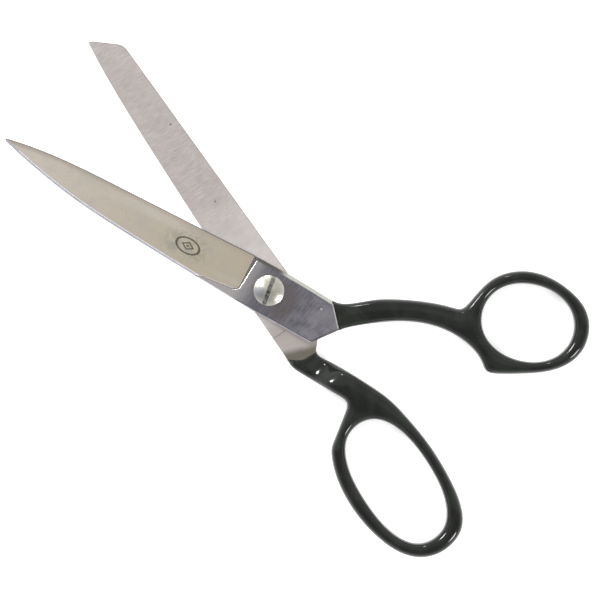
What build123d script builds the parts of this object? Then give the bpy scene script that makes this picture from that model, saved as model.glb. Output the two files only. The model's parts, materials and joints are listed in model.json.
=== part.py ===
from build123d import *
import math
import os

os.makedirs("parts", exist_ok=True)

# Bent dressmaker's shears, in millimetres.
# The pivot axis is Z through the origin, and Z = 0 is the table under the finger half.
# Each half is drawn shut, with its blade along -X and its handle along +X, then turned to rest.

# How far the halves stand open at rest, each half turned by half of this
opening_angle = 24.38

# Levels
boss_thick = 4.2          # each half at the pivot, and the spine of the blade beside it
nut_stand = 0.3           # the nut stands this much below the finger half
ride_gap = 0.03           # between each half and the plane where the halves meet
mating_level = nut_stand + boss_thick + ride_gap

# Blades
thumb_blade = 99.6        # pivot axis to the point
finger_blade = 100.7      # pivot axis to the nose
heel_reach = 9.0          # pivot axis to the end of the ground panel
thumb_edge_height = 7.65  # pivot axis to the cutting side of the boss
thumb_spine_height = 8.3
finger_edge_height = 6.9
finger_spine_height = 8.35
edge_land = 0.55          # thickness left at the cutting edge, at tip and heel
thumb_tip_height = 0.4    # pivot axis line to the cutting edge at the point
finger_tip_height = 0.5
panel_drop = 0.65         # the panel's high side lies this far below the boss face
spine_bevel = 0.8
shoulder_draft = 22       # slope of the wall between panel and boss, in degrees
shoulder_round = 2.5      # of the panel's corner on the spine side
spine_strip = 1.2         # left at full thickness between the panel and the spine
hollow_depth = 0.12       # of the ground hollow in each inner face
hollow_width = 11.0
pad_reach = 13.6          # pivot axis to the rear edge of the riding pads
pad_step = 0.2            # the inner faces fall back by this much behind the pads

# Boss and tang
boss_chamfer = 1.1
lower_chamfer = 0.5
tang_reach = 26.3         # pivot axis to the back corner of the thumb half's tang
tang_shoulder = 19.7      # pivot axis to where the enamel starts along the outer edge
tang_round = 1.6
finger_tang = 25.2        # the same two places on the finger half
finger_tang_low = 21.4
tang_bulge = 1.6          # of the finger half's enamel line, which is an arc
nose_round = 4.0          # of the finger half's blunt nose

# Pivot screw and nut
running_fit = 0.03        # radial, for what turns in a bore
shoulder_dia = 6.0        # in the thumb half
thread_dia = 5.0          # in the finger half and the nut, drawn as a plain cylinder
head_dia = 10.0
head_rim = 0.7
head_rise = 2.0
slot_wide = 1.3
slot_deep = 1.0
slot_turn = -80.7         # the slot's direction in the thumb half
nut_flats = 8.0
nut_thick = 1.9
nut_corner = 1.12         # the nut's corners are turned back to this share of its flats
nut_chamfer = 0.35
spanner_room = 0.7        # round the corners of the nut
thread_end = 0.0          # the screw ends flush with the nut, this far above the table
thread_chamfer = 0.4

# Handles
handle_thick = 2 * mating_level   # over the enamel, as far above the meeting plane as below
handle_round = 1.5        # of every long edge, over the enamel
enamel = 0.3
notch_round = 2.0         # where the thumb shank runs into its bow
stop_height = 12.05       # pivot axis line to the stop under the thumb bow, when shut
stop_round = 1.0          # the stop meets the finger handle
heel_round = 3.0          # where the finger shank leaves the tang
hook_round = 2.4          # under the finger shank, where the forefinger rests
knee_round = 3.0          # where the finger bow turns down
ramp_start = 28.6         # pivot axis to where the shanks start to thicken
ramp_length = 10.0

# Thumb handle: a nearly round opening, set off the blade line
thumb_bow = (78.8, 33.0)
thumb_opening = (15.5, 12.8)
thumb_tilt = 15.0
thumb_square = 2.1        # exponent of the opening's superellipse
thumb_band = [(174, 4.4), (140, 3.6), (104, 3.7), (58, 3.3), (24, 4.4), (-15, 4.4),
              (-38, 3.6), (-66, 3.1), (-86, 3.9), (-99, 5.4)]

# Finger handle: a long opening in line with the blade
finger_bow = (75.0, -2.8)
finger_opening = (22.6, 12.1)
finger_tilt = -2.6
finger_square = 2.35
finger_band = [(219, 4.3), (240, 4.3), (268, 4.5), (296, 3.9), (318, 3.8), (340, 4.1),
               (4, 4.8), (27, 5.2), (50, 4.3), (72, 3.5), (99, 3.5), (124, 4.3)]


inner_level = mating_level + ride_gap      # inner face of the thumb half
face_level = inner_level + boss_thick      # outer face of its boss
nut_room = nut_flats / math.cos(math.pi / 6) + 2 * spanner_room
upward = (Align.CENTER, Align.CENTER, Align.MIN)
centred = (Align.CENTER, Align.CENTER, Align.CENTER)
thumb_enamel_line = ((tang_shoulder, thumb_edge_height - 0.25), (tang_reach, 0.2))
finger_enamel_line = ((finger_tang_low, -8.35), (finger_tang, 0.7))
thumb_hole = (thumb_bow, thumb_opening, thumb_tilt, thumb_square)
finger_hole = (finger_bow, finger_opening, finger_tilt, finger_square)
opening_points = 24       # that an opening's curve runs through
spline_points = 33        # that an inset curve runs through
far = 200                 # beyond any part of the shears


def placed(points, reach, rise):
    """Points given as shares of a reach along X and of a rise along Y."""
    return [(reach * u, rise * v) for u, v in points]


def opening_point(bow, opening, tilt, square, angle, band=0.0):
    """A point of a tilted superellipse, or the one that lies band outside it."""
    turn = math.radians(angle)
    c = math.cos(turn)
    s = math.sin(turn)
    u = opening[0] * math.copysign(abs(c) ** (2 / square), c)
    v = opening[1] * math.copysign(abs(s) ** (2 / square), s)
    nu = math.copysign(abs(u / opening[0]) ** (square - 1) / opening[0], u)
    nv = math.copysign(abs(v / opening[1]) ** (square - 1) / opening[1], v)
    size = math.hypot(nu, nv)
    u += band * nu / size
    v += band * nv / size
    lean = math.radians(tilt)
    x = bow[0] + u * math.cos(lean) - v * math.sin(lean)
    y = bow[1] + u * math.sin(lean) + v * math.cos(lean)
    return (x, y)


def bow_points(bow, opening, tilt, square, band):
    return [opening_point(bow, opening, tilt, square, a, wide) for a, wide in band]


def opening_face(bow, opening, tilt, square, grow):
    angles = [(i + 0.5) * 360 / opening_points for i in range(opening_points)]
    points = [opening_point(bow, opening, tilt, square, a, grow) for a in angles]
    return make_face(Spline(*points, periodic=True))


def thumb_outline(inset):
    """Plan of the thumb handle without its opening, with every edge moved in by inset."""
    bow = bow_points(thumb_bow, thumb_opening, thumb_tilt, thumb_square, thumb_band)
    notch = (thumb_bow[0] * 0.741, thumb_bow[1] * 0.776)
    stop = (thumb_bow[0] * 0.948, stop_height)
    top = placed([(0.29, 0.25), (0.38, 0.405), (0.51, 0.588), (0.635, 0.713)], *thumb_bow)
    low = [(0.888, 0.482), (0.83, 0.526), (0.70, 0.532), (0.57, 0.433), (0.445, 0.243)]
    low = placed(low, *thumb_bow)
    start, heel = thumb_enamel_line
    hidden = [heel, (tang_shoulder - 2, 2.0), start]
    edges = [
        Spline(start, *top, notch),
        Spline(notch, *bow, stop),
        Spline(stop, *low, heel),
        Polyline(*hidden),
    ]
    face = corner_rounded(make_face(edges), notch, notch_round)
    face = corner_rounded(face, stop, stop_round)
    return moved_in(face, hidden, inset) if inset else face


def finger_outline(inset):
    """Plan of the finger handle without its opening, with every edge moved in by inset."""
    bow = bow_points(finger_bow, finger_opening, finger_tilt, finger_square, finger_band)
    top = placed([(0.686, 10.9), (0.6, 8.7), (0.467, 4.6), (0.355, 0.6)], finger_bow[0], 1)
    low = finger_enamel_line[0]
    heel = (finger_bow[0] * 0.333, -8.9)
    hook = (finger_bow[0] * 0.601, 0.27)
    back = (finger_tang - 2, 0.9)
    hidden = [back, (finger_tang_low - 1, -4.0), low]
    edges = [
        Polyline(low, heel, hook, bow[0]),
        Spline(*bow, *top),
        Line(top[-1], back),
        Polyline(*hidden),
    ]
    face = make_face(edges)
    rounds = ((heel, heel_round), (hook, hook_round), (bow[0], knee_round), (top[-1], heel_round))
    for corner, size in rounds:
        face = corner_rounded(face, corner, size)
    return moved_in(face, hidden, inset) if inset else face


def moved_in(face, hidden, inset):
    """A smooth outline moved inwards. Its hidden corner lies inside the tang and stays."""
    middles = [(Vector(*a) + Vector(*b)) * 0.5 for a, b in zip(hidden, hidden[1:])]
    edges = []
    for edge in face.edges():
        if min((edge.center() - middle).length for middle in middles) > 0.01:
            edges.append(moved_edge(edge, face, inset))
    ends = [end for edge in edges for end in (edge @ 0, edge @ 1)]
    first = min(ends, key=lambda end: (end - Vector(*hidden[0])).length)
    last = min(ends, key=lambda end: (end - Vector(*hidden[-1])).length)
    return make_face([*edges, Polyline(first, *hidden[1:-1], last)])


def moved_edge(edge, face, inset):
    side = edge.tangent_at(0.5).cross(Vector(0, 0, 1))
    if not face.is_inside(edge.position_at(0.5) + side * 0.1):
        inset = -inset
    count = {GeomType.LINE: 2, GeomType.CIRCLE: 3}.get(edge.geom_type, spline_points)
    points = []
    for i in range(count):
        share = i / (count - 1)
        aside = edge.tangent_at(share).cross(Vector(0, 0, 1))
        points.append(edge.position_at(share) + aside * inset)
    if count == 2:
        return Line(*points)
    if count == 3:
        return ThreePointArc(*points)
    return Spline(*points)


def corner_rounded(face, corner, size):
    near = face.vertices().sort_by_distance(Vector(*corner))[0]
    return fillet(near, size)


def thickness_profile(inset):
    """Side view of a handle: thin beside the pivot, where it lies on the other half, then full."""
    low = inner_level + pad_step + inset
    top = handle_thick - inset
    ramp_end = ramp_start + ramp_length
    with_ramp = [
        Polyline((0, low), (ramp_start, low)),
        Spline((ramp_start, low), (ramp_end, inset), tangents=[(1, 0), (1, 0)]),
        Polyline((ramp_end, inset), (far, inset), (far, top), (0, top), (0, low)),
    ]
    return Plane.XZ * make_face(with_ramp)


def handle(outline, opening, inset):
    """A handle's solid with everything moved inwards by inset: 0 is over the enamel."""
    plan = outline(inset) - opening_face(*opening, inset)
    block = extrude(plan, handle_thick)
    block &= extrude(thickness_profile(inset), far, both=True)
    return rounded(block, handle_round - inset)


def rounded(block, size):
    """Rounds the long edges, those between an upright wall and a face that isn't upright."""
    long_edges = []
    for edge in block.edges():
        faces = [f for f in block.faces() if any(e.is_same(edge) for e in f.edges())]
        upright = [abs(f.normal_at(None).Z) < 0.01 for f in faces]
        if upright.count(True) == 1:
            long_edges.append(edge)
    return fillet(long_edges, size)


def thumb_steel_plan():
    """Plan of the thumb half's blade, boss and tang, ending where the enamel starts."""
    edge = [(1.0, 0.05), (0.85, 0.405), (0.6, 0.655), (0.3, 0.845), (heel_reach / thumb_blade, 1.0)]
    spine = [(0.12, 0.97), (0.3, 0.915), (0.5, 0.837), (0.7, 0.687), (0.85, 0.428), (0.998, 0.045)]
    cutting = placed(edge, -thumb_blade, thumb_edge_height)
    backed = placed(spine, -thumb_blade, -thumb_spine_height)
    boss_low = (-1.0, -thumb_spine_height)
    low = (tang_shoulder + 0.5, -thumb_spine_height + 0.2)
    outer, back = thumb_enamel_line
    edges = [
        Spline(*cutting),
        ThreePointArc(cutting[-1], (5.0, thumb_edge_height + 0.15), outer),
        Polyline(outer, back, low, boss_low),
        Spline(boss_low, *backed),
        Line(backed[-1], cutting[0]),
    ]
    return corner_rounded(make_face(edges), low, tang_round)


def finger_steel_plan():
    """Plan of the finger half's blade, boss and tang, with its blunt nose."""
    edge = [(0.998, 0.07), (0.9, 0.27), (0.7, 0.53), (0.4, 0.783), (0.2, 0.93)]
    cutting = placed([*edge, (heel_reach / finger_blade, 1.0)], -finger_blade, -finger_edge_height)
    nose = (-0.925 * finger_blade, finger_spine_height)
    nose_low = (-0.998 * finger_blade, 0.3)
    boss_top = (-1.0, finger_spine_height - 0.15)
    boss_low = (2.5, -finger_edge_height - 0.95)
    low, back = finger_enamel_line
    corner = (finger_tang - 3.1, 3.75)
    shoulder = (finger_tang - 7, finger_spine_height - 1)
    edges = [
        Spline(*cutting),
        Polyline(cutting[-1], boss_low, low),
        SagittaArc(low, back, -tang_bulge),
        Polyline(back, corner, shoulder, boss_top, nose, nose_low, cutting[0]),
    ]
    return corner_rounded(make_face(edges), nose, nose_round)


def panel_cutter(blade, edge_height, spine_height, tip_height, contour):
    """What the grinding takes off a blade's outer face, in the thumb half's position.

    Its underside is the panel: one plane, thin at the cutting edge and thick at the spine.
    Its wall at the pivot end slopes down from the boss to the panel.
    """
    tip = Vector(-blade, tip_height, inner_level + edge_land)
    heel = Vector(-heel_reach, edge_height, inner_level + edge_land)
    side = Vector(-heel_reach, -spine_height + 1.6, face_level - panel_drop)
    along = heel - tip
    slope = Plane(origin=tip, x_dir=along, z_dir=(side - heel).cross(along))
    above = slope * Box(3 * far, 3 * far, far, align=upward)
    clear = 0.5
    mouth = Plane.XY.offset(face_level + clear) * make_face(contour)
    return extrude(mouth, amount=-boss_thick - clear, taper=shoulder_draft) & above


def panel_contour(edge_height, spine_height):
    """Plan of the ground panel: square across the cutting side, round at the spine side."""
    beyond = edge_height + 5
    under = -spine_height - 6
    start = -heel_reach + 1.2
    corner = (start - 0.7, -spine_height + 2.8)
    run_out = [(start - 13.2, -spine_height + spine_strip), (start - 26.2, under)]
    outside = [(-far, under), (-far, beyond), (start, beyond)]
    face = make_face(Polyline((start, beyond), corner, *run_out, *outside))
    return corner_rounded(face, corner, shoulder_round).edges()


def hollow_cutter(blade, middle):
    """The long hollow in a blade's inner face: an arc that narrows and fades towards the tip."""
    sections = []
    for reach, share in ((heel_reach + 5, 1.0), (blade - 1, 0.1)):
        half = hollow_width / 2 * share
        depth = hollow_depth * share
        arc = ThreePointArc((-half, 0), (0, depth), (half, 0))
        base = Polyline((half, 0), (half, -1), (-half, -1), (-half, 0))
        station = Plane(origin=(-reach, middle * share, inner_level), x_dir=(0, 1, 0), z_dir=(1, 0, 0))
        sections.append(station * make_face([arc, base]))
    return loft(sections, ruled=True)


def pad_cutter():
    """Behind the riding pad the inner face falls back, so that the halves touch only on the pads."""
    block = Box(far, far, 1 + pad_step, align=(Align.MIN, Align.CENTER, Align.MIN))
    return Pos(pad_reach, 0, inner_level - 1) * block


def turned_under(shape):
    """From the thumb half's position to the finger half's: half a turn about the line X, Z = mating_level."""
    return shape.rotate(Axis((0, 0, mating_level), (1, 0, 0)), 180)


def boss_edges(solid, side, height):
    """Long edges of the boss's outer face, on the +Y or the -Y side, this far from the pivot axis."""
    found = []
    for edge in solid.edges():
        box = edge.bounding_box()
        level = abs(box.min.Z - face_level) < 0.01 and abs(box.max.Z - face_level) < 0.01
        if level and side * edge.center().Y > 0.9 * height and box.size.X > 4 and box.size.Y < 2:
            found.append(edge)
    return found


def spine_edge(solid):
    """The long edge between the ground panel and the blade's spine."""
    sloping = [e for e in solid.edges() if e.center().Y < -2 and e.bounding_box().size.Z > 1.5]
    return max(sloping, key=lambda e: e.length)


def blade_ground(plan, blade, edge_height, spine_height, tip_height):
    """Blade, boss and tang of one half, in the thumb half's position."""
    blank = extrude(Plane.XY.offset(inner_level) * plan, boss_thick, dir=(0, 0, 1))
    contour = panel_contour(edge_height, spine_height)
    blank -= panel_cutter(blade, edge_height, spine_height, tip_height, contour)
    blank = chamfer(boss_edges(blank, 1, edge_height), boss_chamfer)
    blank = chamfer(boss_edges(blank, -1, spine_height), lower_chamfer)
    blank = chamfer(spine_edge(blank), spine_bevel)
    return blank - hollow_cutter(blade, (edge_height - spine_height) / 2) - pad_cutter()


def bored(solid, dia, low, high):
    return solid - Pos(0, 0, low) * Cylinder(dia / 2 + running_fit, high - low, align=upward)


def thumb_half():
    steel = blade_ground(thumb_steel_plan(), thumb_blade, thumb_edge_height, thumb_spine_height,
                         thumb_tip_height)
    steel += handle(thumb_outline, thumb_hole, enamel)
    return bored(steel, shoulder_dia, inner_level - 1, face_level + 1)


def finger_half():
    flipped = finger_steel_plan().rotate(Axis.X, 180)
    steel = blade_ground(flipped, finger_blade, finger_edge_height, finger_spine_height,
                         finger_tip_height)
    steel = turned_under(steel)
    steel += lowered(handle(finger_outline, finger_hole, enamel))
    steel = bored(steel, thread_dia, 0, mating_level)
    return steel - Cylinder(nut_room / 2, nut_thick, align=upward)


def handle_side(line_edges, first, last):
    """Everything on the handle's side of an enamel line that runs from first to last."""
    away = (Vector(*first) - Vector(*last)).normalized() * 3 * finger_bow[0]
    across = Vector(abs(away.Y), -away.X * math.copysign(1, away.Y), 0)
    start = Vector(*first) + away
    end = Vector(*last) - away
    rest = Polyline(last, end, end + 2 * across, start + 2 * across, start, first)
    return extrude(make_face([*line_edges, rest]), far, both=True)


def thumb_enamel():
    first, last = thumb_enamel_line
    skin = handle(thumb_outline, thumb_hole, 0) - handle(thumb_outline, thumb_hole, enamel)
    return skin & handle_side([Line(first, last)], first, last)


def finger_enamel():
    first, last = finger_enamel_line
    skin = handle(finger_outline, finger_hole, 0) - handle(finger_outline, finger_hole, enamel)
    return lowered(skin & handle_side([SagittaArc(first, last, -tang_bulge)], first, last))


def lowered(shape):
    """From above the meeting plane to beneath it, with the same plan."""
    return mirror(shape, about=Plane.XY.offset(mating_level))


def pivot_screw():
    """Slotted and domed. Its shoulder turns in the thumb half and its end is threaded in the other."""
    head_low = face_level + ride_gap
    crown = Pos(0, 0, head_low + head_rim) * sphere_cap(head_dia / 2, head_rise - head_rim)
    head = Pos(0, 0, head_low) * Cylinder(head_dia / 2, head_rim, align=upward) + crown
    slot = Pos(0, 0, head_low + head_rise - slot_deep) * Box(2 * head_dia, slot_wide, 5, align=upward)
    head -= slot.rotate(Axis.Z, slot_turn)
    shoulder_low = mating_level - ride_gap
    shoulder = Pos(0, 0, shoulder_low) * Cylinder(shoulder_dia / 2, head_low - shoulder_low, align=upward)
    end = Pos(0, 0, thread_end) * Cylinder(thread_dia / 2, shoulder_low - thread_end, align=upward)
    tip = end.edges().sort_by(Axis.Z)[0]
    return head + shoulder + chamfer(tip, thread_chamfer)


def sphere_cap(radius, rise):
    ball = (radius ** 2 + rise ** 2) / (2 * rise)
    arc = ThreePointArc((radius, 0), cap_point(ball, rise, 0.5 * radius), (0, rise))
    half = make_face([arc, Polyline((0, rise), (0, 0), (radius, 0))])
    return revolve(Plane.XZ * half, Axis.Z)


def cap_point(ball, rise, reach):
    return (reach, math.sqrt(ball ** 2 - reach ** 2) - ball + rise)


def lock_nut():
    nut = extrude(RegularPolygon(nut_flats / 2, 6, major_radius=False), nut_thick)
    corners = Pos(0, 0, nut_thick / 2) * Cylinder(nut_flats / 2 * nut_corner, nut_thick, align=centred)
    nut &= chamfer(corners.edges(), nut_chamfer)
    return nut - Cylinder(thread_dia / 2 + running_fit, nut_thick, align=upward)


def at_rest(shape, side):
    """A half turned about the pivot by half of the opening angle."""
    return shape.rotate(Axis.Z, side * opening_angle / 2)


pieces = {
    "thumb_half": at_rest(thumb_half(), 1),
    "thumb_enamel": at_rest(thumb_enamel(), 1),
    "finger_half": at_rest(finger_half(), -1),
    "finger_enamel": at_rest(finger_enamel(), -1),
    "pivot_screw": at_rest(pivot_screw(), 1),
    "lock_nut": lock_nut(),
}
for name, piece in pieces.items():
    export_step(piece, f"parts/{name}.step")
    print(name, round(piece.volume, 1), "mm3,", len(piece.solids()), "solid")
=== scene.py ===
import json
from math import cos, pi, radians, sin

import bmesh
import bpy
from mathutils import Matrix, Vector


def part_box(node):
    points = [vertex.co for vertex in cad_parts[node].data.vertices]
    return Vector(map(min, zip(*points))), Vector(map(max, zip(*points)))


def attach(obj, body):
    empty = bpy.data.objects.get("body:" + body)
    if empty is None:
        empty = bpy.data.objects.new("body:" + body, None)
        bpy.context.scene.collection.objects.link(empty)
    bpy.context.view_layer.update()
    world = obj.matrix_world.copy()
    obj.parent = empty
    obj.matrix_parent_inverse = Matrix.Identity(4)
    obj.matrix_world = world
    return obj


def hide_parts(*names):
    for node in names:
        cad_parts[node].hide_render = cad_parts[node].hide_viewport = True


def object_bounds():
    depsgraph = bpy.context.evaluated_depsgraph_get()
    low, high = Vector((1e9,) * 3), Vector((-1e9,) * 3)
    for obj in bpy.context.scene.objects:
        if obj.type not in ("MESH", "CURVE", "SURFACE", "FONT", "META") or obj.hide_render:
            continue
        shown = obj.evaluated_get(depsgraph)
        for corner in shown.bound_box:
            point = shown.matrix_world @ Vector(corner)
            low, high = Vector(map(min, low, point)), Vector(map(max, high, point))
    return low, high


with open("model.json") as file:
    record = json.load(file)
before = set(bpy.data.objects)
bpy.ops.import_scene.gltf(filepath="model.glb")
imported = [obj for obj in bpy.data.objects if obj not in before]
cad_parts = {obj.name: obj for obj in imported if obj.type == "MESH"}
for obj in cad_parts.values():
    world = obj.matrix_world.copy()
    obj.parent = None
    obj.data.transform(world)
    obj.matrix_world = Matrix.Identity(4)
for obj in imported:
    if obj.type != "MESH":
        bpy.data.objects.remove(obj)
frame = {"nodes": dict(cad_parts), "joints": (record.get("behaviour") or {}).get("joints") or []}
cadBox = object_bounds()
print("frame loaded")

mm = 0.001
halfTurn = 12.19  # each half stands open by this much, in degrees
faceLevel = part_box("thumb_half")[1].z
meetLevel = frame["joints"][0]["pos_m"][2]


# Shader and geometry trees -------------------------------------------------


class Number:  # a socket that sums can be written with
    def __init__(self, graph, socket):
        self.graph = graph
        self.socket = socket

    def worked(self, operation, *terms):
        return self.graph.node("ShaderNodeMath", {"operation": operation}, dict(enumerate(terms)))

    def __add__(self, other):
        return self.worked("ADD", self, other)

    def __sub__(self, other):
        return self.worked("SUBTRACT", self, other)

    def __rsub__(self, other):
        return self.worked("SUBTRACT", other, self)

    def __mul__(self, other):
        return self.worked("MULTIPLY", self, other)

    def __truediv__(self, other):
        return self.worked("DIVIDE", self, other)

    def __pow__(self, other):
        return self.worked("POWER", self, other)

    def __abs__(self):
        return self.worked("ABSOLUTE", self)

    __radd__ = __add__
    __rmul__ = __mul__


class Graph:  # a shader or geometry tree that grows one node at a time
    def __init__(self, tree):
        self.tree = tree

    def node(self, kind, settings=None, inputs=None, output=0):
        made = self.tree.nodes.new(kind)
        for name, value in (settings or {}).items():
            if name == "stops":
                while len(made.color_ramp.elements) < len(value):
                    made.color_ramp.elements.new(0.5)
                for element, (place, colour) in zip(made.color_ramp.elements, value):
                    element.position = place
                    element.color = (*colour, 1)
            else:
                setattr(made, name, value)
        for name, value in (inputs or {}).items():
            if isinstance(value, Number):
                self.tree.links.new(value.socket, made.inputs[name])
            else:
                made.inputs[name].default_value = value
        return Number(self, made.outputs[output] if made.outputs else None)

    def output(self, number, name):  # another output of the same node
        return Number(self, number.socket.node.outputs[name])

    def eased(self, value, low, high):  # 0 at low, 1 at high, smooth between
        return self.node(
            "ShaderNodeMapRange",
            {"interpolation_type": "SMOOTHSTEP"},
            {"Value": value, "From Min": low, "From Max": high},
        )

    def blended(self, factor, first, second):  # of two colours
        return self.node(
            "ShaderNodeMix", {"data_type": "RGBA"}, {0: factor, 6: first, 7: second}, output=2
        )

    def noise(self, vector, scale, detail=3.0, roughness=0.5, distortion=0.0):
        return self.node(
            "ShaderNodeTexNoise",
            {"noise_dimensions": "3D"},
            {
                "Vector": vector,
                "Scale": scale,
                "Detail": detail,
                "Roughness": roughness,
                "Distortion": distortion,
            },
        )


class Finish(Graph):  # a material, with the piece's own coordinates turned to lie along it
    def __init__(self, name, turn=0.0):
        self.material = bpy.data.materials.new(name)
        self.material.use_nodes = True
        super().__init__(self.material.node_tree)
        self.tree.nodes.clear()
        self.turn = turn
        coordinates = self.node("ShaderNodeTexCoord", output="Object")
        self.place = self.node(
            "ShaderNodeMapping",
            {"vector_type": "POINT"},
            {"Vector": coordinates, "Rotation": (0, 0, radians(-turn))},
        )
        split = self.node("ShaderNodeSeparateXYZ", inputs={0: self.place})
        self.x, self.y, self.z = split, self.output(split, "Y"), self.output(split, "Z")

    def stretched(self, along, across, turn=0.0):  # coordinates for grain
        turned = self.node(
            "ShaderNodeMapping", {"vector_type": "POINT"},
            {"Vector": self.place, "Rotation": (0, 0, radians(turn))},
        )
        return self.node(
            "ShaderNodeMapping",
            {"vector_type": "POINT"},
            {"Vector": turned, "Scale": (along, across, along)},
        )

    def shine(self, bumps=(), **sockets):
        given = {}
        for name, value in sockets.items():
            given[name.replace("_", " ")] = value
        normal = None
        for height, strength, distance in bumps:
            entry = {"Height": height, "Strength": strength, "Distance": distance}
            if normal:
                entry["Normal"] = normal
            normal = self.node("ShaderNodeBump", {}, entry)
        if normal:
            given["Normal"] = normal
        shader = self.node("ShaderNodeBsdfPrincipled", {}, given)
        self.node("ShaderNodeOutputMaterial", {}, {"Surface": shader})
        return self.material


def rgb(red, green, blue):
    return (red, green, blue, 1)


# Camera, floor and light ---------------------------------------------------

view = {
    "turn": 42.0,  # the shears lie this much turned in the picture
    "across": 0.1962,  # what the picture takes in
    "height": 1.6,
    "aside": (0.0088, -0.0104),  # of the middle of the picture from the middle of the shears
}
studio = {
    "sky": 0.5,
    "paler": 0.3,
    "horizon": 1.4,
    "floorGlow": 0.5,
    "key": 8.0,
    "fill": 5.5,
    "glint": 1.2,
}


def setCamera():
    low, high = cadBox
    middle = (Vector(low) + Vector(high)) / 2
    data = bpy.data.cameras.new("camera")
    data.lens = data.sensor_width * (view["height"] - 0.7 * high[2]) / view["across"]
    data.clip_end = 10
    camera = bpy.data.objects.new("camera", data)
    camera.location = (middle.x + view["aside"][0], middle.y + view["aside"][1], view["height"])
    camera.rotation_euler = (0, 0, radians(view["turn"]))
    bpy.context.scene.collection.objects.link(camera)
    bpy.context.scene.camera = camera


def fromView(right, up, height):  # a place given as the camera sees it
    return Matrix.Rotation(radians(view["turn"]), 3, "Z") @ Vector((right, up, height))


def addLight(name, place, size, power, colour, aim=(0, 0, 0)):
    data = bpy.data.lights.new(name, "AREA")
    data.shape = "DISK"
    data.size = size
    data.energy = power
    data.color = colour
    light = bpy.data.objects.new(name, data)
    light.location = fromView(*place)
    light.rotation_euler = (Vector(aim) - light.location).to_track_quat("-Z", "Y").to_euler()
    bpy.context.scene.collection.objects.link(light)


def setStudio():
    world = bpy.data.worlds.new("studio")
    bpy.context.scene.world = world
    world.use_nodes = True
    sky = Graph(world.node_tree)
    sky.tree.nodes.clear()
    direction = sky.node("ShaderNodeTexCoord", output="Generated")
    split = sky.node("ShaderNodeSeparateXYZ", inputs={0: direction})
    lift = sky.eased(sky.output(split, "Z"), 0.2, 0.8)
    strength = studio["horizon"] + lift * (studio["sky"] - studio["horizon"])
    # a paler half of the ceiling, towards the top of the picture
    upward = split * -sin(radians(view["turn"])) + sky.output(split, "Y") * cos(radians(view["turn"]))
    strength = strength + sky.eased(upward, -0.04, 0.1) * lift * studio["paler"]
    colour = sky.blended(lift, rgb(0.98, 0.99, 1.0), rgb(1.0, 0.99, 0.985))
    shader = sky.node("ShaderNodeBackground", {}, {"Color": colour, "Strength": strength})
    sky.node("ShaderNodeOutputWorld", {}, {"Surface": shader})

    addLight("key", (-0.75, 0.62, 0.95), 0.3, studio["key"], (1.0, 0.99, 0.97))
    addLight("fill", (0.8, -0.65, 0.8), 0.32, studio["fill"], (0.99, 0.99, 1.0))
    addLight("glint", (-0.15, 0.95, 0.7), 0.1, studio["glint"], (1.0, 1.0, 1.0))
    bpy.context.scene.view_settings.view_transform = "Standard"

    mesh = bpy.data.meshes.new("floor")
    reach = 3.0
    mesh.from_pydata(
        [(-reach, -reach, 0), (reach, -reach, 0), (reach, reach, 0), (-reach, reach, 0)],
        [], [(0, 1, 2, 3)],
    )
    floor = bpy.data.objects.new("floor", mesh)
    bpy.context.scene.collection.objects.link(floor)
    paper = Finish("paper")
    tone = paper.blended(paper.noise(paper.place, 9.0), rgb(0.9, 0.9, 0.9), rgb(0.93, 0.93, 0.925))
    mesh.materials.append(
        paper.shine(
            Base_Color=tone, Roughness=0.85,
            Emission_Color=rgb(1.0, 1.0, 1.0), Emission_Strength=studio["floorGlow"],
        )
    )


setCamera()
setStudio()
print("camera, floor and light set")


# Steel finishes ------------------------------------------------------------

mark = {  # an etched oval with a lozenge in it
    "centre": (-30.3 * mm, -0.5 * mm),
    "half": (4.4 * mm, 2.6 * mm),
    "ring": 0.12,
    "lozenge": (2.3 * mm, 1.35 * mm),
}
panelLook = {
    "tip": rgb(0.65, 0.59, 0.515),
    "heel": rgb(0.55, 0.49, 0.39),
    "shade": rgb(0.38, 0.34, 0.31),
    "pale": rgb(0.66, 0.62, 0.55),
    "cloud": rgb(0.44, 0.42, 0.38),
    "stain": rgb(0.30, 0.30, 0.25),
    "shadeWidth": 2.0 * mm,  # of the painted shade band along the cutting edge
    "edgeAtPivot": 8.1 * mm,
    "edgeSlope": 0.0515,
    "curveFrom": -60 * mm,
    "edgeCurve": 43.0,
    "etched": rgb(0.10, 0.09, 0.075),
    "roughness": 0.27,
}
tangLook = {
    "lilac": rgb(0.255, 0.245, 0.275),
    "screwShade": rgb(0.17, 0.145, 0.14),
    "worn": rgb(0.62, 0.59, 0.585),
    "light": rgb(0.40, 0.39, 0.42),
    "dark": rgb(0.135, 0.135, 0.16),
    "brightSpot": (17.85 * mm, 3.25 * mm, 0.4 * mm),
    "lineTurn": 42.5,  # the enamel line's direction and place in the half
    "lineAt": 19.52 * mm,
    "roughness": 0.34,
}
groundLook = {
    "base": rgb(0.70, 0.645, 0.62),
    "light": rgb(0.94, 0.90, 0.885),
    "dark": rgb(0.47, 0.43, 0.41),
    "olive": rgb(0.15, 0.14, 0.105),
    "spot": rgb(0.12, 0.10, 0.09),
    "spots": [(-63.0 * mm, 5.7 * mm, 0.45 * mm), (-34.0 * mm, 2.8 * mm, 0.4 * mm)],
    "roughness": 0.4,
}


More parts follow.
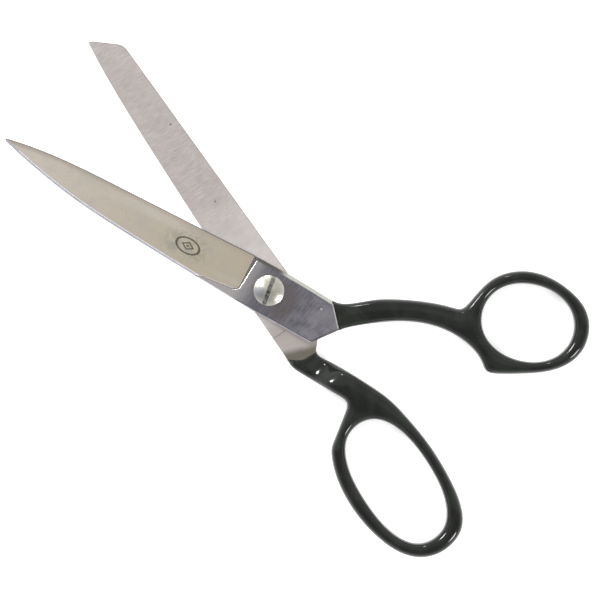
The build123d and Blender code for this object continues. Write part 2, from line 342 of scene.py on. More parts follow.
def polishedPanel():
    steel = Finish("polishedPanel", halfTurn)
    cloud = steel.eased(steel.noise(steel.place, 160, 5, 0.6, 0.4), 0.42, 0.7)
    along = steel.eased(steel.x, -90 * mm, -15 * mm)
    colour = steel.blended(along, panelLook["tip"], panelLook["heel"])
    colour = steel.blended(cloud * 0.45, colour, panelLook["cloud"])
    wave = steel.eased(steel.noise(steel.stretched(20, 120), 1.0, 2), 0.5, 0.66)
    colour = steel.blended(wave * 0.5, colour, panelLook["pale"])
    speck = steel.eased(steel.noise(steel.place, 900, 4, 0.65, 1.2), 0.56, 0.7)
    patch = steel.eased(steel.noise(steel.place, 75, 2), 0.5, 0.68)
    colour = steel.blended(speck * patch * 0.55, colour, panelLook["stain"])

    # the mark and the stain that the etching left round it
    u = steel.x - mark["centre"][0]
    v = steel.y - mark["centre"][1]
    ringed = ((u / mark["half"][0]) ** 2 + (v / mark["half"][1]) ** 2) ** 0.5
    ring = steel.eased(abs(ringed - 0.93), mark["ring"], mark["ring"] * 0.55)
    across = abs(u) / mark["lozenge"][0] + abs(v) / mark["lozenge"][1]
    lozenge = steel.eased(abs(across - 0.86), 0.24, 0.12)
    inner = steel.eased(across, 0.36, 0.22)
    etched = steel.node("ShaderNodeClamp", {}, {"Value": ring + lozenge + inner})
    halo = steel.eased(ringed, 2.5, 1.2) * steel.eased(steel.noise(steel.place, 420, 4, 0.6, 0.8), 0.42, 0.62)
    colour = steel.blended(halo * 0.4, colour, panelLook["stain"])
    worn = steel.eased(steel.noise(steel.place, 2500, 2), 0.3, 0.5)
    colour = steel.blended(etched * (0.72 + worn * 0.28), colour, panelLook["etched"])

    # the cutting edge curves in towards the tip, with a painted shade along it
    bent = steel.node("ShaderNodeMath", {"operation": "MAXIMUM"}, {0: panelLook["curveFrom"] - steel.x, 1: 0.0})
    edge = panelLook["edgeAtPivot"] + steel.x * panelLook["edgeSlope"] - bent ** 3 * panelLook["edgeCurve"]
    paintedEdgeShade = steel.eased(edge - steel.y, panelLook["shadeWidth"], 0.0)
    colour = steel.blended(paintedEdgeShade * (0.75 - along * 0.35), colour, panelLook["shade"])

    grain = steel.noise(steel.stretched(120, 4200), 1.0, 4, 0.6)
    scratch = steel.eased(steel.noise(steel.stretched(60, 5200, 3.0), 1.0, 2, 0.5), 0.66, 0.74)
    rough = panelLook["roughness"] + (grain - 0.5) * 0.12 + etched * 0.3 + cloud * 0.05
    return steel.shine(
        [(grain, 0.12, 0.02 * mm), (scratch, 0.1, 0.02 * mm), (1 - etched, 0.5, 0.03 * mm)],
        Base_Color=colour, Metallic=1.0, Roughness=rough,
    )


def brushedTang():
    steel = Finish("brushedTang", halfTurn)
    brush = steel.noise(steel.stretched(6000, 420, 8), 1.0, 5, 0.65)
    coarse = steel.noise(steel.stretched(2600, 230, 10), 1.0, 3, 0.6)
    cloud = steel.noise(steel.place, 190, 3, 0.5, 0.5)
    colour = steel.blended(steel.eased(coarse, 0.2, 0.8), tangLook["dark"], tangLook["lilac"])
    right = steel.eased(steel.x, 4 * mm, 17 * mm)
    colour = steel.blended(right * 0.55 * steel.eased(cloud, 0.3, 0.65), colour, tangLook["light"])
    u = (steel.x - 6.2 * mm) / (4.6 * mm)  # a painted brown shade beside the screw head
    v = (steel.y + 0.8 * mm) / (6.4 * mm)
    screwShade = steel.eased((u ** 2 + v ** 2) ** 0.5, 1.25, 0.55)
    colour = steel.blended(screwShade * 0.6, colour, tangLook["screwShade"])
    warm = steel.eased(steel.x, -2 * mm, -11 * mm)
    colour = steel.blended(warm * 0.75, colour, tangLook["worn"])
    hair = steel.eased(steel.noise(steel.stretched(5200, 160, -24), 1.0, 2), 0.62, 0.72)
    colour = steel.blended(hair * 0.2, colour, tangLook["light"])
    # a tiny near-white spot on the tang
    x, y, size = tangLook["brightSpot"]
    brightSpot = steel.eased(((steel.x - x) ** 2 + (steel.y - y) ** 2) ** 0.5, size, size * 0.3)
    # painted highlight: a pale line on the steel just short of the enamel's edge
    lineward = steel.x * cos(radians(tangLook["lineTurn"])) + steel.y * sin(radians(tangLook["lineTurn"]))
    pale = steel.eased(lineward, tangLook["lineAt"] - 0.5 * mm, tangLook["lineAt"] - 0.2 * mm)
    colour = steel.blended(brightSpot * 0.9, colour, rgb(0.95, 0.95, 0.95))
    colour = steel.blended(pale * 0.8, colour, rgb(0.86, 0.86, 0.80))
    rough = tangLook["roughness"] + (brush - 0.5) * 0.2
    return steel.shine(
        [(brush, 0.22, 0.03 * mm), (hair, 0.08, 0.02 * mm)],
        Base_Color=colour, Metallic=1.0, Roughness=rough,
    )


def groundFace():
    steel = Finish("groundFace", -halfTurn)
    grain = steel.noise(steel.stretched(4200, 380, 4), 1.0, 5, 0.65)
    broad = steel.noise(steel.stretched(1500, 160, 6), 1.0, 3, 0.6)
    colour = steel.blended(steel.eased(grain, 0.1, 0.9), groundLook["dark"], groundLook["base"])
    colour = steel.blended(steel.eased(broad, 0.45, 0.8) * 0.2, colour, groundLook["light"])
    heel = steel.eased(steel.x, -42 * mm, -12 * mm)
    colour = steel.blended(heel * 0.55, colour, groundLook["light"])
    cloud = steel.eased(steel.noise(steel.place, 110, 3, 0.55), 0.42, 0.7)
    colour = steel.blended(cloud * 0.25, colour, groundLook["dark"])
    # behind the screw the face is duller
    tang = steel.eased(steel.x, 6 * mm, 13 * mm)
    colour = steel.blended(tang * 0.6, colour, groundLook["dark"])
    for x, y, size in groundLook["spots"]:
        spot = steel.eased(((steel.x - x) ** 2 + (steel.y - y) ** 2) ** 0.5, size, size * 0.4)
        colour = steel.blended(spot * 0.85, colour, groundLook["spot"])
    # a painted reflection of the black enamel: an olive-dark zone on the steel before the enamel
    line = steel.x + (steel.y + 3.8 * mm) * -0.42
    enamelReflection = steel.eased(line + (steel.noise(steel.place, 500) - 0.5) * 0.8 * mm, 19.6 * mm, 22.6 * mm)
    colour = steel.blended(enamelReflection * 0.85, colour, groundLook["olive"])
    rough = groundLook["roughness"] + (grain - 0.5) * 0.2
    return steel.shine(
        [(grain, 0.25, 0.03 * mm)],
        Base_Color=colour, Metallic=1.0, Roughness=rough,
    )


def plainSteel(name, turn, light, dark, roughness, along=240, across=2600):
    steel = Finish(name, turn)
    grain = steel.noise(steel.stretched(along, across), 1.0, 4, 0.6)
    cloud = steel.noise(steel.place, 260, 3, 0.5)
    colour = steel.blended(steel.eased(grain * 0.6 + cloud * 0.4, 0.35, 0.65), dark, light)
    return steel.shine(
        [(grain, 0.15, 0.02 * mm)],
        Base_Color=colour, Metallic=1.0, Roughness=roughness + (grain - 0.5) * 0.12,
    )


def tangBevel():  # painted shade from the shoulder to the screw, then a pale olive
    steel = Finish("tangBevel", halfTurn)
    grain = steel.noise(steel.stretched(240, 2600), 1.0, 4, 0.6)
    past = steel.eased(steel.x + (grain - 0.5) * 3 * mm, -0.5 * mm, 3.5 * mm)
    colour = steel.blended(past, rgb(0.08, 0.075, 0.07), rgb(0.38, 0.38, 0.35))
    return steel.shine(
        [(grain, 0.15, 0.02 * mm)],
        Base_Color=colour, Metallic=1.0, Roughness=0.28 + (grain - 0.5) * 0.1,
    )


# Enamel --------------------------------------------------------------------

enamelLook = {
    "deep": rgb(0.0025, 0.0038, 0.0025),
    "green": rgb(0.009, 0.0122, 0.0082),
    "dust": rgb(0.05, 0.055, 0.048),
    "roughness": 0.11,
}


def dippedEnamel(name, turn):
    coat = Finish(name, turn)
    flow = coat.noise(coat.place, 130, 3, 0.5, 0.6)
    colour = coat.blended(coat.eased(flow, 0.35, 0.65), enamelLook["deep"], enamelLook["green"])
    dust = coat.eased(coat.noise(coat.place, 2600, 2), 0.7, 0.78)
    colour = coat.blended(dust * 0.5, colour, enamelLook["dust"])
    peel = coat.noise(coat.place, 420, 2, 0.5)
    ripple = coat.noise(coat.place, 110, 1, 0.5)
    return coat.shine(
        [(ripple, 0.25, 0.25 * mm), (peel, 0.12, 0.06 * mm)],
        Base_Color=colour, Roughness=enamelLook["roughness"] + dust * 0.25 + (flow - 0.5) * 0.1,
        IOR=1.46,
    )


# Mesh helpers --------------------------------------------------------------


def nodePoints(*names):  # the merged points and faces of CAD nodes, as one new mesh
    shell = bmesh.new()
    for name in names:
        data = frame["nodes"][name].data
        places = [shell.verts.new(v.co) for v in data.vertices]
        for polygon in data.polygons:
            try:
                shell.faces.new([places[i] for i in polygon.vertices])
            except ValueError:
                pass
    bmesh.ops.remove_doubles(shell, verts=shell.verts, dist=0.002 * mm)
    return shell


def asObject(name, shell):
    mesh = bpy.data.meshes.new(name)
    shell.to_mesh(mesh)
    shell.free()
    piece = bpy.data.objects.new(name, mesh)
    bpy.context.scene.collection.objects.link(piece)
    return piece


def shaded(piece, sharp):
    for polygon in piece.data.polygons:
        polygon.use_smooth = True
    piece.data.set_sharp_from_angle(angle=radians(sharp))


def cutAlong(shell, line, beyond, keepHandle):
    # the enamel's edge is an arc, so the shell is bent until the arc is straight, cut and bent back
    def bend(sign):
        for v in shell.verts:
            off = v.co.xy - line["middle"]
            u = max(-1.4, min(1.4, off.dot(line["across"]) / line["half"]))
            v.co.xy += sign * line["bulge"] * u * u * line["away"]

    bend(1)
    at = line["middle"] + line["away"] * beyond
    normal = Vector((*line["away"], 0))
    cut = bmesh.ops.bisect_plane(
        shell,
        geom=shell.verts[:] + shell.edges[:] + shell.faces[:],
        dist=1e-7,
        plane_co=(at.x, at.y, 0),
        plane_no=normal,
        clear_inner=keepHandle,
        clear_outer=not keepHandle,
    )
    rim = [e for e in cut["geom_cut"] if isinstance(e, bmesh.types.BMEdge)]
    bmesh.ops.contextual_create(shell, geom=rim)
    bend(-1)
    return shell


def socketOf(tree, name):
    return next(i.identifier for i in tree.interface.items_tree if i.name == name and i.in_out == "INPUT")


def grown(name, tree, values, start=None):  # what a tree makes of a start mesh, as a plain mesh
    raw = bpy.data.objects.new(name + "Raw", start or bpy.data.meshes.new(name + "Start"))
    bpy.context.scene.collection.objects.link(raw)
    modifier = raw.modifiers.new("tree", "NODES")
    modifier.node_group = tree
    for socket, value in values.items():
        modifier[socketOf(tree, socket)] = value
    bpy.context.view_layer.update()
    made = bpy.data.meshes.new_from_object(raw.evaluated_get(bpy.context.evaluated_depsgraph_get()))
    bpy.data.objects.remove(raw)
    return made


def enamelLine(node, turn, half, bulge):
    # the line lies square to this direction, where the CAD enamel starts
    away = Vector((cos(radians(turn)), sin(radians(turn))))
    across = Vector((-away.y, away.x))
    points = [v.co.xy for v in frame["nodes"][node].data.vertices]
    start = min(p.dot(away) for p in points)
    rim = [p.dot(across) for p in points if p.dot(away) < start + 0.05 * mm]
    centre = (min(rim) + max(rim)) / 2
    return {
        "away": away,
        "across": across,
        "middle": away * (start + bulge) + across * centre,
        "half": half,
        "bulge": bulge,
    }


thumbLine = enamelLine("thumb_enamel", 54.7, 4.9 * mm, 0.0)
fingerLine = enamelLine("finger_enamel", -34.97, 4.68 * mm, 1.58 * mm)
print("enamel lines found", thumbLine["middle"], fingerLine["middle"])


# Steel halves --------------------------------------------------------------

steelCut = 1.2 * mm  # the steel runs this far into the enamel


def steelHalf(name, node, line, body, finishes, upper):
    shell = cutAlong(nodePoints(node), line, steelCut, False)
    shell.normal_update()
    for face in shell.faces:
        face.material_index = upper(face.normal, face.calc_center_median())
    piece = asObject(name, shell)
    for finish in finishes:
        piece.data.materials.append(finish)
    shaded(piece, 20)
    for polygon in piece.data.polygons:  # a ground flat stays flat
        polygon.use_smooth = abs(polygon.normal.z) < 0.9996
    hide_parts(node)
    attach(piece, body)
    print(name, len(piece.data.polygons), "faces")
    return piece


def thumbZone(normal, centre):
    along = Matrix.Rotation(radians(-halfTurn), 3, "Z") @ centre
    if normal.z > 0.9996:
        return 1  # boss, tang and the strip along the spine
    if normal.z > 0.93:
        return 0  # ground panel
    if normal.z > 0.15 and -13 * mm < along.x < -5 * mm and abs(along.y) < 6.6 * mm:
        return 2  # shoulder
    if normal.z > 0.25:
        return 3 if along.x < -9 * mm and along.y < 0 else 6 if along.y > 0 else 7  # bevels
    if normal.z < -0.9:
        return 4  # inner face
    return 5  # sides


def fingerZone(normal, centre):
    if normal.z > 0.93:
        return 0
    if normal.z > 0.2:
        return 1
    if normal.z < -0.93:
        return 2
    return 3


thumbSteel = steelHalf(
    "thumb_steel_half", "thumb_half", thumbLine, "thumb_side",
    [
        polishedPanel(),
        brushedTang(),
        # painted shade: the shoulder wall is given near-black navy steel
        plainSteel("shoulder", halfTurn, rgb(0.06, 0.07, 0.11), rgb(0.03, 0.035, 0.06), 0.4),
        plainSteel("thumbBevel", halfTurn, rgb(0.42, 0.405, 0.44), rgb(0.31, 0.30, 0.34), 0.3),
        plainSteel("thumbInner", halfTurn, rgb(0.80, 0.75, 0.73), rgb(0.62, 0.58, 0.56), 0.36, 3200, 150),
        plainSteel("thumbSide", halfTurn, rgb(0.5, 0.485, 0.50), rgb(0.36, 0.35, 0.37), 0.3),
        tangBevel(),
        plainSteel("lowerBevel", halfTurn, rgb(0.33, 0.32, 0.35), rgb(0.21, 0.205, 0.235), 0.3),
    ],
    thumbZone,
)
fingerSteel = steelHalf(
    "finger_steel_half", "finger_half", fingerLine, "finger_side",
    [
        groundFace(),
        plainSteel("fingerBevel", -halfTurn, rgb(0.30, 0.285, 0.28), rgb(0.17, 0.16, 0.155), 0.3),
        plainSteel("fingerOuter", -halfTurn, rgb(0.76, 0.71, 0.62), rgb(0.62, 0.60, 0.54), 0.28),
        plainSteel("fingerSide", -halfTurn, rgb(0.48, 0.465, 0.46), rgb(0.33, 0.32, 0.32), 0.3),
    ],
    fingerZone,
)


# Arrises: the rounded edge that the stone leaves along a ground face, some coloured white as a painted
# highlight, some black as a painted shade

arris = {"radius": 0.14 * mm, "fine": 0.1 * mm, "sunk": 0.09 * mm, "corners": 8}


def arrisTree():
    tree = bpy.data.node_groups.new("arris", "GeometryNodeTree")
    face = tree.interface
    for name, kind in (
        ("Edge", "NodeSocketGeometry"), ("Radius", "NodeSocketFloat"), ("Corners", "NodeSocketInt"),
        ("Spacing", "NodeSocketFloat"), ("Coat", "NodeSocketMaterial"),
    ):
        face.new_socket(name, in_out="INPUT", socket_type=kind)
    face.new_socket("Mesh", in_out="OUTPUT", socket_type="NodeSocketGeometry")
    g = Graph(tree)
    entry = g.node("NodeGroupInput")
    curve = g.node("GeometryNodeMeshToCurve", {}, {"Mesh": g.output(entry, "Edge")})
    even = g.node(
        "GeometryNodeResampleCurve", {"mode": "LENGTH"}, {"Curve": curve, "Length": g.output(entry, "Spacing")}
    )
    ring = g.node(
        "GeometryNodeCurvePrimitiveCircle", {"mode": "RADIUS"},
        {"Resolution": g.output(entry, "Corners"), "Radius": g.output(entry, "Radius")},
    )
    tube = g.node(
        "GeometryNodeCurveToMesh", {}, {"Curve": even, "Profile Curve": ring, "Fill Caps": True}
    )
    real = g.node("GeometryNodeRealizeInstances", {}, {"Geometry": tube})
    coated = g.node("GeometryNodeSetMaterial", {}, {"Geometry": real, "Material": g.output(entry, "Coat")})
    g.node("NodeGroupOutput", {}, {0: coated})
    return tree


def edgeBetween(steel, first, second, wanted):  # the line where two zones of a steel half meet
    shell = bmesh.new()
    shell.from_mesh(steel.data)
    line = bmesh.new()
    made = {}
    for e in shell.edges:
        if len(e.link_faces) != 2:
            continue
        zones = {f.material_index for f in e.link_faces}
        if not (first in zones and len(zones & second) == 1 and len(zones) == 2):
            continue
        if not wanted((e.verts[0].co + e.verts[1].co) / 2):
            continue
        ends = []
        for v in e.verts:
            if v.index not in made:
                made[v.index] = line.verts.new(v.co)
            ends.append(made[v.index])
        line.edges.new(ends)
    shell.free()
    mesh = bpy.data.meshes.new("edge")
    line.to_mesh(mesh)
    line.free()
    return mesh


def arrisPiece(name, steel, zones, wanted, radius, finish, body, sunk=0.0):
    start = edgeBetween(steel, zones[0], zones[1], wanted)
    for v in start.vertices:
        v.co.z -= sunk
    mesh = grown(name, arrisShape, {
        "Radius": radius, "Corners": arris["corners"], "Spacing": 0.5 * mm, "Coat": finish,
    }, start)
    mesh.materials.clear()
    mesh.materials.append(finish)
    for polygon in mesh.polygons:
        polygon.use_smooth = True
    piece = bpy.data.objects.new(name, mesh)
    bpy.context.scene.collection.objects.link(piece)
    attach(piece, body)
    print(name, len(mesh.polygons), "faces")


def alongHalf(place, side):
    return Matrix.Rotation(radians(-side * halfTurn), 3, "Z") @ place


def backLine(place):  # the spine and the blunt nose
    p = alongHalf(place, -1)
    return p.y > 7 * mm and p.x < 3 * mm or p.x < -91 * mm and p.y > 1.2 * mm


def padLine(place):  # where the finger half's inner face falls back
    p = alongHalf(place, -1)
    return 13 * mm < p.x < 14.2 * mm


arrisShape = arrisTree()
# painted highlight: near-white steel on the shoulder and spine arrises
paintedHighlightArris = plainSteel("paintedHighlightArris", halfTurn, rgb(0.98, 0.98, 0.98), rgb(0.90, 0.90, 0.92), 0.2)
# painted shade: near-black steel on the cutting edge, back, pad and boss arrises
paintedShadeArris = plainSteel("paintedShadeArris", -halfTurn, rgb(0.10, 0.095, 0.09), rgb(0.05, 0.05, 0.045), 0.35)
arrisPiece("shoulder_arris", thumbSteel, (1, {2}), lambda p: True,
           arris["radius"], paintedHighlightArris, "thumb_side")
arrisPiece("spine_arris", thumbSteel, (0, {3, 5}), lambda p: alongHalf(p, 1).y < -1.5 * mm,
           arris["fine"], paintedHighlightArris, "thumb_side")
arrisPiece("edge_arris", thumbSteel, (0, {5}), lambda p: alongHalf(p, 1).y > 0.6 * mm,
           arris["fine"], paintedShadeArris, "thumb_side")
arrisPiece("back_arris", fingerSteel, (0, {3, 1}), backLine,
           arris["fine"], paintedShadeArris, "finger_side", arris["sunk"])
arrisPiece("pad_arris", fingerSteel, (0, {3, 1}), padLine,
           0.05 * mm, paintedShadeArris, "finger_side")
arrisPiece("boss_arris", thumbSteel, (1, {7}), lambda p: True,
           0.09 * mm, paintedShadeArris, "thumb_side")
print("arrises made")


# Enamelled handles ---------------------------------------------------------

dip = {
    "voxel": 0.42 * mm,
    "steps": 34,  # how often the shape is softened
    "swell": 0.25 * mm,  # puts back what softening takes off
    "fade": 9.0 * mm,  # near the line the shape stays as the steel
    "lip": 0.12 * mm,
    "lipReach": 0.9 * mm,
}


def dipTree():
    tree = bpy.data.node_groups.new("dip", "GeometryNodeTree")
    face = tree.interface
    face.new_socket("Mesh", in_out="INPUT", socket_type="NodeSocketGeometry")
    for name, kind in (
        ("Middle", "NodeSocketVector"), ("Away", "NodeSocketVector"), ("Across", "NodeSocketVector"),
        ("Half", "NodeSocketFloat"), ("Bulge", "NodeSocketFloat"), ("Steps", "NodeSocketInt"),
        ("Swell", "NodeSocketFloat"), ("Fade", "NodeSocketFloat"), ("Lip", "NodeSocketFloat"),
        ("Lip Reach", "NodeSocketFloat"), ("Coat", "NodeSocketMaterial"),
    ):
        face.new_socket(name, in_out="INPUT", socket_type=kind)
    face.new_socket("Mesh", in_out="OUTPUT", socket_type="NodeSocketGeometry")
    g = Graph(tree)
    entry = g.node("NodeGroupInput")

    def given(name):
        return g.output(entry, name)

    def vector(operation, a, b=None, output="Vector"):
        inputs = {0: a}
        if b is not None:
            inputs[1 if operation != "SCALE" else "Scale"] = b
        return g.node("ShaderNodeVectorMath", {"operation": operation}, inputs, output)

    place = g.node("GeometryNodeInputPosition")
    off = vector("SUBTRACT", place, given("Middle"))
    u = vector("DOT_PRODUCT", off, given("Across"), "Value") / given("Half")
    reach = vector("DOT_PRODUCT", off, given("Away"), "Value") + given("Bulge") * u * u
    loose = g.eased(reach, 0.0, given("Fade"))
    soft = g.node(
        "GeometryNodeBlurAttribute", {"data_type": "FLOAT_VECTOR"},
        {"Value": place, "Iterations": given("Steps"), "Weight": loose},
    )
    softened = g.node(
        "GeometryNodeSetPosition", {}, {"Geometry": given("Mesh"), "Position": soft}
    )
    normal = g.node("GeometryNodeInputNormal")
    beyond = reach / given("Lip Reach") - 0.6
    bead = g.eased(abs(beyond), 1.0, 0.0)
    rise = given("Swell") * loose + given("Lip") * bead
    swollen = g.node(
        "GeometryNodeSetPosition", {}, {"Geometry": softened, "Offset": vector("SCALE", normal, rise)}
    )
    realised = g.node("GeometryNodeRealizeInstances", {}, {"Geometry": swollen})
    coated = g.node("GeometryNodeSetMaterial", {}, {"Geometry": realised, "Material": given("Coat")})
    g.node("NodeGroupOutput", {}, {0: coated})
    return tree


def outerShell(shell):  # drops what lies inside
    islands, seen = [], set()
    shell.verts.ensure_lookup_table()
    for start in shell.verts:
        if start in seen:
            continue
        island, queue = [], [start]
        seen.add(start)
        while queue:
            v = queue.pop()
            island.append(v)
            for e in v.link_edges:
                w = e.other_vert(v)
                if w not in seen:
                    seen.add(w)
                    queue.append(w)
        islands.append(island)
    islands.sort(key=len)
    for island in islands[:-1]:
        bmesh.ops.delete(shell, geom=island, context="VERTS")


def enamelHandle(name, halfNode, enamelNode, line, body, tree, finish):
    shell = nodePoints(halfNode, enamelNode)
    cutAlong(shell, line, -14 * mm, True)
    raw = asObject(name + "Raw", shell)
    remesh = raw.modifiers.new("remesh", "REMESH")
    remesh.mode = "VOXEL"
    remesh.voxel_size = dip["voxel"]
    remesh.adaptivity = 0.0
    fine = bpy.data.meshes.new_from_object(raw.evaluated_get(bpy.context.evaluated_depsgraph_get()))
    bpy.data.objects.remove(raw)
    shell = bmesh.new()
    shell.from_mesh(fine)
    outerShell(shell)
    core = asObject(name + "Core", shell)
    modifier = core.modifiers.new("dip", "NODES")
    modifier.node_group = tree
    for socket, value in (
        ("Middle", Vector((*line["middle"], 0))), ("Away", Vector((*line["away"], 0))),
        ("Across", Vector((*line["across"], 0))), ("Half", line["half"]), ("Bulge", line["bulge"]),
        ("Steps", dip["steps"]), ("Swell", dip["swell"]), ("Fade", dip["fade"]), ("Lip", dip["lip"]),
        ("Lip Reach", dip["lipReach"]), ("Coat", finish),
    ):
        modifier[socketOf(tree, socket)] = value
    bpy.context.view_layer.update()
    dipped = bpy.data.meshes.new_from_object(core.evaluated_get(bpy.context.evaluated_depsgraph_get()))
    bpy.data.objects.remove(core)
    shell = bmesh.new()
    shell.from_mesh(dipped)
    cutAlong(shell, line, 0.0, True)
    bmesh.ops.recalc_face_normals(shell, faces=shell.faces)
    for v in shell.verts:
        v.co.z = max(v.co.z, 0.0)  # it stands on the table
    piece = asObject(name, shell)
    piece.data.materials.clear()
    piece.data.materials.append(finish)
    shaded(piece, 50)
    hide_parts(enamelNode)
    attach(piece, body)
    print(name, len(piece.data.polygons), "faces")
    return piece


tree = dipTree()
enamelHandle("thumb_handle", "thumb_half", "thumb_enamel", thumbLine, "thumb_side", tree,
             dippedEnamel("thumbEnamel", halfTurn))
enamelHandle("finger_handle", "finger_half", "finger_enamel", fingerLine, "finger_side", tree,
             dippedEnamel("fingerEnamel", -halfTurn))


beads = {"along": (-3.24 * mm, -1.79 * mm), "beyond": 0.45 * mm, "sunk": 0.16 * mm, "size": (0.55 * mm, 0.42 * mm, 0.3 * mm)}


def enamelBeads(finish):  # two drops that the enamel left at its edge
    shell = bmesh.new()
    for t in beads["along"]:
        u = t / fingerLine["half"]
        at = fingerLine["middle"] + fingerLine["across"] * t
        at = at + fingerLine["away"] * (beads["beyond"] - fingerLine["bulge"] * u * u)
        drop = bmesh.ops.create_icosphere(shell, subdivisions=4, radius=1.0)["verts"]
        for v in drop:
            v.co = Vector((v.co.x * beads["size"][0], v.co.y * beads["size"][1], v.co.z * beads["size"][2]))
            v.co += Vector((at.x, at.y, meetLevel - beads["sunk"]))
    piece = asObject("enamel_beads", shell)
    piece.data.materials.append(finish)
    shaded(piece, 60)
    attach(piece, "finger_side")


enamelBeads(dippedEnamel("beadEnamel", -halfTurn))
print("handles dipped")


# Screw and nut -------------------------------------------------------------

screw = {
    "slotTurn": -68.5,  # how the slot lies
    "slotHalf": 0.65 * mm,
    "crownRadius": 10.27 * mm,
    "burrs": 46,
    "burrSize": 0.085 * mm,
}


def nickel():
    steel = Finish("nickel", halfTurn)
    smudge = steel.eased(steel.noise(steel.place, 420, 4, 0.6, 1.0), 0.45, 0.66)
    # painted shade: a darker bluish patch on one side of the screw head's dome
    u = (steel.x + 2.4 * mm) / (2.6 * mm)
    v = (steel.y + 1.9 * mm) / (2.3 * mm)
    patch = steel.eased((u ** 2 + v ** 2) ** 0.5, 1.2, 0.5)
    colour = steel.blended(smudge * 0.4, rgb(0.58, 0.57, 0.51), rgb(0.32, 0.29, 0.23))
    colour = steel.blended(patch * 0.75, colour, rgb(0.24, 0.25, 0.28))
    scuff = steel.noise(steel.stretched(900, 3200, 20), 1.0, 4, 0.7)
    rough = 0.25 + smudge * 0.12 + patch * 0.15
    return steel.shine(
        [(scuff, 0.25, 0.05 * mm), (smudge, 0.2, 0.06 * mm)],
        Base_Color=colour, Metallic=1.0, Roughness=rough,
    )


def slotMetal():
    steel = Finish("slotMetal", halfTurn)
    torn = steel.noise(steel.stretched(1500, 500, 80), 1.0, 5, 0.7)
    colour = steel.blended(steel.eased(torn, 0.35, 0.62), rgb(0.05, 0.05, 0.045), rgb(0.34, 0.33, 0.31))
    return steel.shine(
        [(torn, 0.8, 0.12 * mm)],
        Base_Color=colour, Metallic=1.0, Roughness=0.32 + torn * 0.2,
    )


def screwPiece():
    low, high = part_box("pivot_screw")
    shell = nodePoints("pivot_screw")
    shell.normal_update()
    slot = Vector((cos(radians(screw["slotTurn"])), sin(radians(screw["slotTurn"]))))
    for face in shell.faces:
        centre = face.calc_center_median()
        aside = abs(centre.x * slot.y - centre.y * slot.x)
        inSlot = aside < screw["slotHalf"] + 0.02 * mm and centre.z > faceLevel + 0.3 * mm
        face.material_index = 1 if inSlot and centre.z < high.z - 0.02 * mm else 0
        if centre.z < meetLevel:
            face.material_index = 2
    piece = asObject("slotted_screw", shell)
    for finish in (nickel(), slotMetal(), threadMetal()):
        piece.data.materials.append(finish)
    shaded(piece, 30)
    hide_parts("pivot_screw")
    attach(piece, "screw")


def threadMetal():
    steel = Finish("threadMetal")
    ring = steel.node(
        "ShaderNodeTexWave", {"wave_type": "RINGS", "rings_direction": "Z", "wave_profile": "SIN"},
        {"Vector": steel.place, "Scale": 1100.0, "Distortion": 0.6, "Detail": 2.0},
    )
    dirt = steel.eased(steel.noise(steel.place, 900, 4, 0.6), 0.45, 0.65)
    colour = steel.blended(dirt * 0.6, rgb(0.58, 0.57, 0.54), rgb(0.22, 0.2, 0.17))
    return steel.shine(
        [(ring, 0.35, 0.05 * mm)],
        Base_Color=colour, Metallic=1.0, Roughness=0.34 + dirt * 0.2,
    )


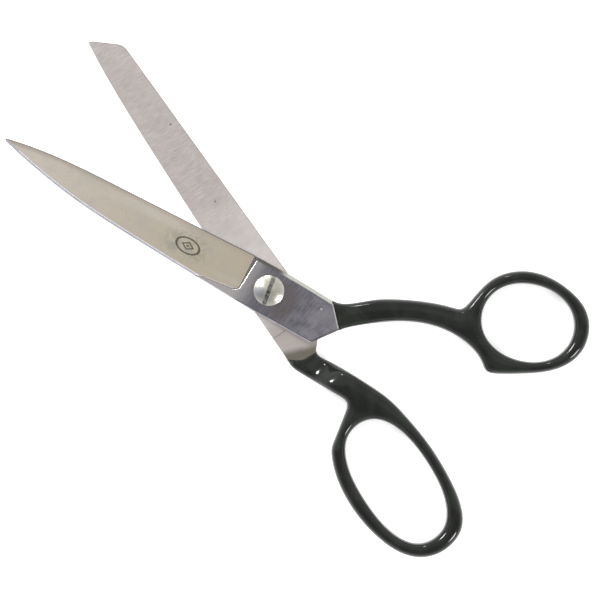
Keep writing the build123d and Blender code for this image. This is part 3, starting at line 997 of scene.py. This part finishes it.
def burrTree():  # small torn grains along both edges of the slot
    tree = bpy.data.node_groups.new("burrs", "GeometryNodeTree")
    face = tree.interface
    for name, kind in (
        ("Count", "NodeSocketInt"), ("Length", "NodeSocketFloat"), ("Half Width", "NodeSocketFloat"),
        ("Crown", "NodeSocketFloat"), ("Top", "NodeSocketFloat"), ("Turn", "NodeSocketFloat"),
        ("Size", "NodeSocketFloat"), ("Coat", "NodeSocketMaterial"),
    ):
        face.new_socket(name, in_out="INPUT", socket_type=kind)
    face.new_socket("Mesh", in_out="OUTPUT", socket_type="NodeSocketGeometry")
    g = Graph(tree)
    entry = g.node("NodeGroupInput")
    count, length, half = (g.output(entry, n) for n in ("Count", "Length", "Half Width"))
    row = g.node("GeometryNodeMeshLine", {"mode": "OFFSET"}, {"Count": count})
    index = g.node("GeometryNodeInputIndex")
    chance = g.node("FunctionNodeRandomValue", {"data_type": "FLOAT"}, {"Seed": 4}, output=1)
    second = g.node("FunctionNodeRandomValue", {"data_type": "FLOAT"}, {"Seed": 9}, output=1)
    side = g.node("ShaderNodeMath", {"operation": "MODULO"}, {0: index, 1: 2.0}) * 2 - 1
    along = (index / count - 0.5) * length + (chance - 0.5) * length / count
    across = side * (half + (second - 0.35) * g.output(entry, "Size") * 1.4)
    drop = (g.output(entry, "Crown") ** 2 - along ** 2 - across ** 2) ** 0.5 - g.output(entry, "Crown")
    turn = g.output(entry, "Turn")
    c = g.node("ShaderNodeMath", {"operation": "COSINE"}, {0: turn})
    s = g.node("ShaderNodeMath", {"operation": "SINE"}, {0: turn})
    place = g.node(
        "ShaderNodeCombineXYZ", {},
        {0: along * c - across * s, 1: along * s + across * c, 2: g.output(entry, "Top") + drop},
    )
    placed = g.node("GeometryNodeSetPosition", {}, {"Geometry": row, "Position": place})
    grain = g.node("GeometryNodeMeshIcoSphere", {}, {"Radius": g.output(entry, "Size"), "Subdivisions": 2})
    size = g.node("ShaderNodeCombineXYZ", {}, {0: 0.8 + chance * 1.4, 1: 0.6 + second * 0.9, 2: 0.45})
    spun = g.node("ShaderNodeCombineXYZ", {}, {2: turn + (second - 0.5) * 1.2})
    rotation = g.node("FunctionNodeEulerToRotation", {}, {0: spun})
    dots = g.node(
        "GeometryNodeInstanceOnPoints", {},
        {"Points": placed, "Instance": grain, "Rotation": rotation, "Scale": size},
    )
    real = g.node("GeometryNodeRealizeInstances", {}, {"Geometry": dots})
    coated = g.node("GeometryNodeSetMaterial", {}, {"Geometry": real, "Material": g.output(entry, "Coat")})
    g.node("NodeGroupOutput", {}, {0: coated})
    return tree


def burrs():
    low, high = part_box("pivot_screw")
    finish = slotMetal()
    mesh = grown("burrs", burrTree(), {
        "Count": screw["burrs"], "Length": 0.93 * (high.x - low.x), "Half Width": screw["slotHalf"],
        "Crown": screw["crownRadius"], "Top": high.z, "Turn": radians(screw["slotTurn"]),
        "Size": screw["burrSize"], "Coat": finish,
    })
    mesh.materials.clear()
    mesh.materials.append(finish)
    for polygon in mesh.polygons:
        polygon.use_smooth = True
    piece = bpy.data.objects.new("slot_burrs", mesh)
    bpy.context.scene.collection.objects.link(piece)
    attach(piece, "screw")


def nutPiece():
    data = frame["nodes"]["lock_nut"].data
    data.materials.clear()
    data.materials.append(
        plainSteel("nutPlate", 0, rgb(0.78, 0.77, 0.74), rgb(0.6, 0.6, 0.58), 0.26, 900, 900)
    )


screwPiece()
burrs()
nutPiece()
print("screw and nut finished")
